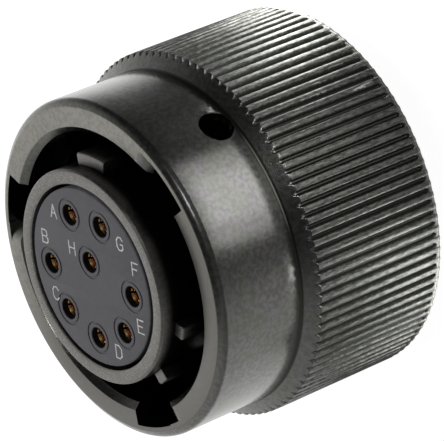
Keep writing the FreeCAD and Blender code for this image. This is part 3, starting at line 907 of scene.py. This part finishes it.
class Nodes(Graph):
    def __init__(self, name):
        self.material = bpy.data.materials.new(name)
        self.material.use_nodes = True
        super().__init__(self.material.node_tree)
        self.shader = self.tree.nodes["Principled BSDF"]
        self.coordinates = self.add("ShaderNodeTexCoord").outputs["Object"]

    def over(self, value, limits):
        return self.ramp(value, *limits)

    def under(self, value, limits):
        return self.ramp(value, *limits, 1.0, 0.0)

    def product(self, first, *others):
        for other in others:
            first = self.calculate("MULTIPLY", first, other)
        return first

    def noise(self, size, detail=4.0, roughness=0.55, stretch=(1.0, 1.0, 1.0)):
        vector = self.coordinates
        if stretch != (1.0, 1.0, 1.0):
            mapping = self.add("ShaderNodeMapping")
            self.join(stretch, mapping.inputs["Scale"])
            self.join(vector, mapping.inputs["Vector"])
            vector = mapping.outputs["Vector"]
        node = self.add("ShaderNodeTexNoise")
        self.join(1.0 / (size * metre), node.inputs["Scale"])
        self.join(detail, node.inputs["Detail"])
        self.join(roughness, node.inputs["Roughness"])
        self.join(vector, node.inputs["Vector"])
        return node.outputs["Fac"]

    def parts(self):
        node = self.add("ShaderNodeSeparateXYZ")
        self.join(self.coordinates, node.inputs[0])
        return node.outputs

    def places(self):
        # Distance from the axis and height, in millimetres
        parts = self.parts()
        flat = self.add("ShaderNodeCombineXYZ")
        self.join(parts["X"], flat.inputs["X"])
        self.join(parts["Y"], flat.inputs["Y"])
        length = self.add("ShaderNodeVectorMath")
        length.operation = "LENGTH"
        self.join(flat.outputs[0], length.inputs[0])
        radius = self.calculate("MULTIPLY", length.outputs["Value"], 1.0 / metre)
        return radius, self.calculate("MULTIPLY", parts["Z"], 1.0 / metre)

    def bearing(self):
        parts = self.parts()
        return self.calculate("DEGREES", self.calculate("ARCTAN2", parts["Y"], parts["X"]))

    def toothPlace(self, teeth, width):
        # Distance from the middle of the nearest groove, in millimetres
        count = self.calculate("MULTIPLY", self.bearing(), teeth / 360.0)
        whole = self.calculate("ROUND", count)
        off = self.calculate("ABSOLUTE", self.calculate("SUBTRACT", count, whole))
        return self.calculate("MULTIPLY", off, width)

    def mix(self, factor, first, second):
        node = self.add("ShaderNodeMix")
        node.data_type = "RGBA"
        self.join(factor, node.inputs["Factor"])
        self.join(first, node.inputs[6])
        self.join(second, node.inputs[7])
        return node.outputs[2]

    def bump(self, height, strength, distance):
        node = self.add("ShaderNodeBump")
        self.join(strength, node.inputs["Strength"])
        self.join(distance * metre, node.inputs["Distance"])
        self.join(height, node.inputs["Height"])
        self.join(node.outputs["Normal"], self.shader.inputs["Normal"])

    def set(self, **values):
        for key, value in values.items():
            self.join(value, self.shader.inputs[key.replace("_", " ")])


def simpleMaterial(name, dark, light, size, roughness, metallic=0.0):
    nodes = Nodes(name)
    grain = nodes.noise(size)
    nodes.set(
        Base_Color=nodes.mix(nodes.ramp(grain, 0.35, 0.65), dark, light),
        Roughness=nodes.ramp(grain, 0.3, 0.7, roughness[0], roughness[1]),
        Metallic=metallic)
    nodes.bump(grain, 0.2, 0.01)
    return nodes.material


# Pairs of limits are heights or radii between which one colour gives way to another. A
# scratch is its bearing, rear and front height, and half its width in degrees.
ringLook = {
    "dark": ((0.19, 0.193, 0.172), (0.19, 0.187, 0.181)),
    "light": ((0.243, 0.25, 0.227), (0.257, 0.25, 0.252)),
    "face": ((0.255, 0.244, 0.218), (0.335, 0.322, 0.29)),
    "shadedFace": (0.2, 0.195, 0.178),
    "groove": (0.085, 0.088, 0.079),
    "relief": (0.075, 0.077, 0.067),
    "inside": (0.03, 0.03, 0.027),
    "worn": ((0.108, 0.11, 0.098), (0.235, 0.24, 0.222)),
    "rim": (0.42, 0.41, 0.385),
    "bare": (0.7, 0.69, 0.66),
    "litFaceBearing": 125.0,
    "faceShadeSpread": (-0.4, 0.5),
    "knurlFront": (13.15, 13.3),
    "knurlRadii": (12.2, 12.3),
    "grooveEdge": (0.13, 0.21),
    "landEdge": (0.19, 0.24),
    "rimHighlightFront": (2.95, 3.02),
    "rimHighlightRadii": (12.7, 12.75),
    "reliefShadeRear": (13.93, 14.0),
    "reliefShadeRadii": (11.7, 11.75),
    "insideShadeRear": (6.0, 7.0),
    "insideShadeFront": (18.4, 19.9),
    "insideShadeRadii": (11.25, 11.35),
    "scratchEnd": 0.15,
    "scratches": (
        (52.0, 7.1, 9.4, 0.8),
        (55.7, 6.6, 7.7, 0.7),
        (58.7, 7.6, 9.6, 0.5),
        (59.0, 4.5, 5.7, 0.6),
        (49.6, 3.6, 5.3, 0.6),
    ),
}


def ringMaterial():
    nodes = Nodes("DarkPlating")
    radius, height = nodes.places()
    grain = nodes.noise(0.3)
    fine = nodes.noise(0.11, 3.0, 0.6)
    cloud = nodes.noise(1.4, 3.0)
    tint = nodes.ramp(cloud, 0.42, 0.6)
    dark = nodes.mix(tint, *ringLook["dark"])
    light = nodes.mix(tint, *ringLook["light"])
    colour = nodes.mix(nodes.ramp(grain, 0.36, 0.64), dark, light)
    face = nodes.ramp(height, ring["front"] - 0.06, ring["front"] - 0.01)
    faceColour = nodes.mix(nodes.ramp(grain, 0.35, 0.62), *ringLook["face"])
    # Painted shade: the front face is painted darker the further its bearing turns from the lit side, a
    # light gradient painted into its colour.
    turned = nodes.calculate("SUBTRACT", nodes.bearing(), ringLook["litFaceBearing"])
    turned = nodes.calculate("COSINE", nodes.calculate("RADIANS", turned))
    shadedFace = nodes.under(turned, ringLook["faceShadeSpread"])
    faceColour = nodes.mix(shadedFace, faceColour, ringLook["shadedFace"])
    colour = nodes.mix(face, colour, faceColour)
    behind = nodes.product(
        nodes.under(height, ringLook["knurlFront"]), nodes.over(radius, ringLook["knurlRadii"]))
    across = nodes.toothPlace(ring["knurlTeeth"], toothWidth)
    ragged = nodes.calculate("ADD", across, nodes.ramp(nodes.noise(0.28, 3.0), 0.2, 0.8, -0.07, 0.07))
    # Painted shade: the knurl's grooves are painted dark, with ragged edges.
    groove = nodes.product(
        behind, nodes.under(ragged, ringLook["grooveEdge"]),
        nodes.ramp(height, ring["knurlRear"], ring["knurlRear"] + 0.12))
    streak = nodes.noise(0.16, 3.0, 0.6, (1.0, 1.0, 0.3))
    land = nodes.mix(nodes.ramp(streak, 0.35, 0.62), *ringLook["worn"])
    colour = nodes.mix(behind, colour, land)
    colour = nodes.mix(groove, colour, ringLook["groove"])
    # Painted highlight: the knurl's rear rim and chamfer are painted light, standing in for the light they
    # mirror.
    rim = nodes.product(nodes.under(height, ringLook["rimHighlightFront"]), nodes.over(radius, ringLook["rimHighlightRadii"]))
    colour = nodes.mix(rim, colour, ringLook["rim"])
    # Painted shade: the relief groove between the knurl's cone and the band is painted dark.
    relief = nodes.product(
        nodes.over(height, ringLook["reliefShadeRear"]),
        nodes.under(height, (ring["reliefEnd"], ring["reliefEnd"] + 0.06)),
        nodes.over(radius, ringLook["reliefShadeRadii"]))
    colour = nodes.mix(relief, colour, ringLook["relief"])
    # Painted shade: the ring's inside, with its slots, tracks and chamber, is painted nearly black.
    inside = nodes.product(
        nodes.under(height, ringLook["insideShadeFront"]), nodes.over(height, ringLook["insideShadeRear"]),
        nodes.under(radius, ringLook["insideShadeRadii"]))
    colour = nodes.mix(inside, colour, ringLook["inside"])
    nicks = nodes.ramp(fine, 0.7, 0.74)
    edge = nodes.calculate("MAXIMUM", nodes.product(behind, 0.8), face)
    bare = nodes.product(nicks, nodes.ramp(edge, 0.0, 1.0, 0.25, 1.0))
    marks = nodes.ramp(nodes.noise(0.2, 2.0, 0.5, (1.0, 1.0, 0.25)), 0.44, 0.5)
    end = ringLook["scratchEnd"]
    for middle, rear, front, width in ringLook["scratches"]:
        beside = nodes.calculate("ABSOLUTE", nodes.calculate("SUBTRACT", nodes.bearing(), middle))
        scratch = nodes.product(
            nodes.under(beside, (width, width * 1.6)), nodes.ramp(height, rear - end, rear + end),
            nodes.under(height, (front - end, front + end)), marks, nodes.over(ragged, ringLook["landEdge"]))
        bare = nodes.calculate("MAXIMUM", bare, scratch)
    colour = nodes.mix(bare, colour, ringLook["bare"])
    rough = nodes.ramp(grain, 0.3, 0.7, 0.22, 0.27)
    rough = nodes.calculate("ADD", rough, nodes.product(behind, 0.2))
    rough = nodes.calculate("ADD", rough, nodes.product(face, 0.12))
    nodes.set(Base_Color=colour, Roughness=rough, Metallic=nodes.ramp(bare, 0.0, 1.0, 1.0, 0.3))
    pits = nodes.ramp(nodes.noise(0.2, 2.0), 0.33, 0.42)
    surface = nodes.calculate("ADD", nodes.product(grain, 0.5), nodes.product(pits, 0.35))
    nodes.bump(surface, 0.2, 0.012)
    return nodes.material


shellLook = {
    "dark": (0.2, 0.196, 0.183),
    "light": (0.265, 0.258, 0.243),
    "worn": (0.58, 0.57, 0.54),
    "hiddenShade": (0.03, 0.03, 0.028),
    "shadeWithinRear": (3.0, 4.0),
    "shadeWithinFront": (19.3, 20.9),
    "shadeOutsideRear": (10.0, 11.0),
    "shadeOutsideFront": (21.2, 22.05),
    "shadeOutsideRadii": ((7.45, 7.5), (7.57, 7.62)),
}


def shellMaterial():
    nodes = Nodes("BarrelPlating")
    radius, height = nodes.places()
    front = shell["front"]
    keyFront = shell["keyFront"]
    grain = nodes.noise(0.28)
    fine = nodes.noise(0.1, 3.0, 0.6)
    colour = nodes.mix(nodes.ramp(grain, 0.35, 0.65), shellLook["dark"], shellLook["light"])
    rim = nodes.product(nodes.ramp(height, front - 0.08, front - 0.01), nodes.ramp(fine, 0.6, 0.68))
    keys = nodes.product(nodes.ramp(height, keyFront - 0.1, keyFront - 0.02), nodes.ramp(fine, 0.62, 0.68))
    colour = nodes.mix(nodes.calculate("MAXIMUM", rim, nodes.product(keys, 0.6)), colour, shellLook["worn"])
    # Painted shade: the shell inside the coupling ring, and the barrel's outside up to near its front rim,
    # are painted nearly black.
    shadeWithin = nodes.product(
        nodes.over(height, shellLook["shadeWithinRear"]), nodes.under(height, shellLook["shadeWithinFront"]))
    inner, outer = shellLook["shadeOutsideRadii"]
    outside = nodes.product(
        nodes.under(height, shellLook["shadeOutsideFront"]), nodes.over(height, shellLook["shadeOutsideRear"]),
        nodes.over(radius, inner), nodes.under(radius, outer))
    colour = nodes.mix(nodes.calculate("MAXIMUM", shadeWithin, outside), colour, shellLook["hiddenShade"])
    nodes.set(Base_Color=colour, Roughness=nodes.ramp(grain, 0.3, 0.7, 0.34, 0.45), Metallic=1.0)
    nodes.bump(nodes.calculate("ADD", grain, nodes.product(fine, 0.4)), 0.35, 0.012)
    return nodes.material


plating = ringMaterial()
shellPlating = shellMaterial()
plastic = simpleMaterial("InsertPlastic", (0.062, 0.062, 0.069), (0.08, 0.08, 0.087), 0.4, (0.5, 0.62))
holeShade = simpleMaterial("HoleShade", (0.003, 0.003, 0.003), (0.006, 0.006, 0.006), 0.3, (0.6, 0.75))
paint = simpleMaterial("LetterPaint", (0.36, 0.36, 0.355), (0.5, 0.5, 0.49), 0.2, (0.5, 0.6))
gold = simpleMaterial("ContactGold", (0.86, 0.46, 0.18), (0.95, 0.6, 0.27), 0.25, (0.14, 0.26), 1.0)
bronze = simpleMaterial("ClipBronze", (0.62, 0.4, 0.22), (0.72, 0.48, 0.28), 0.4, (0.25, 0.38), 1.0)
steel = simpleMaterial("SpringSteel", (0.42, 0.42, 0.42), (0.55, 0.55, 0.54), 0.4, (0.22, 0.34), 1.0)
rubber = simpleMaterial("GrommetRubber", (0.1, 0.03, 0.018), (0.14, 0.045, 0.028), 0.5, (0.6, 0.75))
gasketRubber = simpleMaterial("GasketRubber", (0.012, 0.012, 0.013), (0.03, 0.03, 0.03), 0.4, (0.5, 0.65))

ringPiece.data.materials.append(plating)
shellPiece.data.materials.append(shellPlating)
letterPiece.data.materials.append(paint)
contactPiece.data.materials.append(gold)
springPiece.data.materials.append(steel)
insertPiece.data.materials.append(plastic)
insertPiece.data.materials.append(holeShade)
# Painted shade: the walls of the contact holes get a nearly black material.
for polygon in insertPiece.data.polygons:
    centre = polygon.center / metre
    if insert["rear"] + insert["rearSlack"] < centre.z < insert["face"] - insert["holeShadeStart"]:
        for x, y in insert["places"].values():
            if math.hypot(centre.x - x, centre.y - y) < insert["holeRadius"] + insert["holeShadeSlack"]:
                polygon.material_index = 1

nodeLooks = {
    "clip_disc": plastic,
    "wire_grommet": rubber,
    "insert_ring": steel,
    "retaining_ring": steel,
    "thrust_washer": steel,
    "shell_gasket": gasketRubber,
}
for letter in "abcdefgh":
    nodeLooks[f"contact_clip_{letter}"] = bronze
for nodeName, look in nodeLooks.items():
    node = bpy.data.objects[nodeName]
    node.data.materials.clear()
    node.data.materials.append(look)
print("stage: materials")


def glowingSheet(name, paintName, halfWide, halfTall, base, roughness, radiance):
    mesh = bpy.data.meshes.new(name)
    signs = ((-1, -1), (1, -1), (1, 1), (-1, 1))
    corners = [(halfWide * x, halfTall * y, 0) for x, y in signs]
    mesh.from_pydata(corners, [], [(0, 1, 2, 3)])
    nodes = Nodes(paintName)
    nodes.set(
        Base_Color=(base, base, base), Roughness=roughness,
        Emission_Color=(1.0, 1.0, 1.0), Emission_Strength=radiance)
    mesh.materials.append(nodes.material)
    sheet = bpy.data.objects.new(name, mesh)
    scene.collection.objects.link(sheet)
    return sheet


# Floor: seen by the camera only, so that the metal mirrors the room and not the floor
floor = glowingSheet("Floor", "FloorPaint", 0.6, 0.6, base=0.2, roughness=0.9, radiance=0.95)
floor.visible_glossy = False
floor.visible_diffuse = False
floor.visible_shadow = False
floor.visible_transmission = False

# World: a dark studio whose light depends on the direction round the plug. Stops are
# azimuth in degrees and half the radiance. The camera sees white behind the plug.
studio = {
    "low": (
        (-180, 0.9), (-137, 0.69), (-97, 0.6), (-77, 0.49), (-47, 0.35), (-27, 0.26), (-17, 0.19),
        (-8, 0.12), (2, 0.09), (30, 0.07), (60, 0.05), (88, 0.04), (112, 0.045), (122, 0.06),
        (142, 0.13), (152, 0.24), (162, 0.61), (172, 0.83), (180, 0.9),
    ),
    "high": (
        (-180, 0.5), (-152, 0.55), (-107, 0.31), (-90, 0.25), (-60, 0.17), (-30, 0.1), (0, 0.05),
        (20, 0.05), (43, 0.12), (60, 0.1), (85, 0.018), (135, 0.018), (150, 0.1), (166, 0.27), (180, 0.5),
    ),
    "gain": 2.0,
    "lowSine": -0.38,
    "highSine": 0.2,
    "zenithStart": 0.8,
    "zenithEnd": 0.97,
    "zenith": 0.02,
}
world = bpy.data.worlds.new("Studio")
scene.world = world
world.use_nodes = True
world.node_tree.nodes.clear()
sky = Graph(world.node_tree)


def azimuthStops(place, stops):
    node = sky.add("ShaderNodeValToRGB")
    elements = node.color_ramp.elements
    elements.remove(elements[-1])
    for i, (azimuth, value) in enumerate(stops):
        element = elements[0] if i == 0 else elements.new(azimuth / 360 + 0.5)
        element.position = azimuth / 360 + 0.5
        element.color = (value, value, value, 1.0)
    sky.join(place, node.inputs["Fac"])
    return node.outputs["Color"]


def blend(factor, first, second):
    node = sky.add("ShaderNodeMix")
    for name, value in (("Factor", factor), ("A", first), ("B", second)):
        sky.join(value, node.inputs[name])
    return node.outputs[0]


ray = sky.add("ShaderNodeSeparateXYZ")
sky.join(sky.add("ShaderNodeTexCoord").outputs["Generated"], ray.inputs[0])
turn = sky.calculate("ARCTAN2", ray.outputs["Y"], ray.outputs["X"])
azimuthPlace = sky.calculate("ADD", sky.calculate("MULTIPLY", turn, 1 / (2 * math.pi)), 0.5)
sine = ray.outputs["Z"]
glow = blend(
    sky.ramp(sine, studio["lowSine"], studio["highSine"]),
    azimuthStops(azimuthPlace, studio["low"]),
    azimuthStops(azimuthPlace, studio["high"]))
glow = blend(sky.ramp(sine, studio["zenithStart"], studio["zenithEnd"]), glow, studio["zenith"])
room = sky.add("ShaderNodeBackground")
sky.join(sky.calculate("MULTIPLY", glow, studio["gain"]), room.inputs["Strength"])
white = sky.add("ShaderNodeBackground")
sky.join((1.0, 1.0, 1.0), white.inputs["Color"])
choice = sky.add("ShaderNodeMixShader")
sky.join(sky.add("ShaderNodeLightPath").outputs["Is Camera Ray"], choice.inputs[0])
sky.join(room.outputs[0], choice.inputs[1])
sky.join(white.outputs[0], choice.inputs[2])
sky.join(choice.outputs[0], sky.add("ShaderNodeOutputWorld").inputs["Surface"])

# Where the lamps aim, in metres
lampTarget = Vector((0.0, 0.0, 0.012))


def direction(azimuth, elevation):
    a = math.radians(azimuth)
    e = math.radians(elevation)
    return (math.cos(e) * math.cos(a), math.cos(e) * math.sin(a), math.sin(e))


def areaLamp(name, azimuth, elevation, distance, size, power):
    lamp = bpy.data.lights.new(name, "AREA")
    lamp.shape = "DISK"
    lamp.size = size
    lamp.energy = power
    holder = bpy.data.objects.new(name, lamp)
    offset = Vector(direction(azimuth, elevation)) * distance
    holder.location = lampTarget + offset
    holder.rotation_euler = offset.to_track_quat("Z", "Y").to_euler()
    scene.collection.objects.link(holder)
    return holder


keyLamp = areaLamp("KeyLamp", azimuth=120.0, elevation=60.0, distance=0.4, size=0.15, power=1.2)
keyLamp.visible_glossy = False
areaLamp("GlintLamp", azimuth=56.0, elevation=58.0, distance=0.3, size=0.04, power=0.045)

# Low strips beside the plug are lamps that the band and the knurl mirror. The cards are dim glowing
# sheets seen only in reflections: they paint darker reflections on the knurl. Each is placed by the
# direction and height on the ring where the camera sees it.
strips = (
    {"name": "BandStrip", "phi": 35.0, "radius": 11.92, "height": 18.2, "away": 30.0,
     "width": 34.0, "tall": 11.6, "radiance": 1.25},
    {"name": "BandCore", "phi": 35.5, "radius": 11.92, "height": 18.2, "away": 30.0,
     "width": 17.0, "tall": 11.6, "radiance": 0.8},
    {"name": "TopStrip", "phi": 77.0, "radius": 13.0, "height": 5.4, "away": 10.0,
     "width": 13.0, "tall": 4.6, "radiance": 9.5},
    {"name": "SideStrip", "phi": -8.0, "radius": 13.0, "height": 4.9, "away": 10.0,
     "width": 13.0, "tall": 4.6, "radiance": 4.7},
)
darkReflectionCards = (
    {"name": "TopDarkReflection", "phi": 101.0, "radius": 13.0, "height": 5.5, "away": 10.0,
     "width": 20.0, "tall": 10.0, "radiance": 0.1},
    {"name": "SideDarkReflection", "phi": -34.0, "radius": 13.0, "height": 5.5, "away": 10.0,
     "width": 18.0, "tall": 10.0, "radiance": 0.15},
)
viewAzimuth = 27.7
viewElevation = 33.8


def mirrored(values):
    azimuth = 2 * values["phi"] - viewAzimuth
    seen = Vector(onCircle(values["radius"], values["phi"], values["height"]))
    away = Vector(direction(azimuth, -viewElevation))
    return (seen + away * values["away"]) * metre, away


for values in darkReflectionCards:
    place, away = mirrored(values)
    reflectionSheet = glowingSheet(
        values["name"], values["name"], values["width"] / 2 * metre, values["tall"] / 2 * metre,
        base=0.0, roughness=1.0, radiance=values["radiance"])
    reflectionSheet.location = place
    reflectionSheet.rotation_euler = away.to_track_quat("Z", "Y").to_euler()
    reflectionSheet.visible_camera = False
    reflectionSheet.visible_shadow = False
    reflectionSheet.visible_diffuse = False

for values in strips:
    azimuth = 2 * values["phi"] - viewAzimuth
    lamp = areaLamp(values["name"], azimuth, -viewElevation, distance=0.1, size=0.1, power=1.0)
    # Place, size and power are the strip's own
    lamp.location = mirrored(values)[0]
    lamp.data.shape = "RECTANGLE"
    lamp.data.size = values["width"] * metre
    lamp.data.size_y = values["tall"] * metre
    lamp.data.energy = values["radiance"] * math.pi * lamp.data.size * lamp.data.size_y
    lamp.visible_camera = False
print("stage: light")

# Camera at the photograph's angle
camera = {
    "right": (0.6324, -0.0965, -0.7686),
    "forward": (-0.7355, -0.3861, -0.5567),
    "location": (0.1805, 0.0950, 0.14755),
    "lens": 292.8,
    "sensor": 36.0,
}
cameraData = bpy.data.cameras.new("Camera")
cameraData.lens = camera["lens"]
cameraData.sensor_width = camera["sensor"]
cameraData.clip_start = 0.01
cameraData.clip_end = 10.0
cameraObject = bpy.data.objects.new("Camera", cameraData)
right = Vector(camera["right"]).normalized()
back = -Vector(camera["forward"]).normalized()
up = back.cross(right).normalized()
right = up.cross(back)
matrix = Matrix((right, up, back)).transposed().to_4x4()
matrix.translation = Vector(camera["location"])
cameraObject.matrix_world = matrix
scene.collection.objects.link(cameraObject)
scene.camera = cameraObject

print("stage: done")
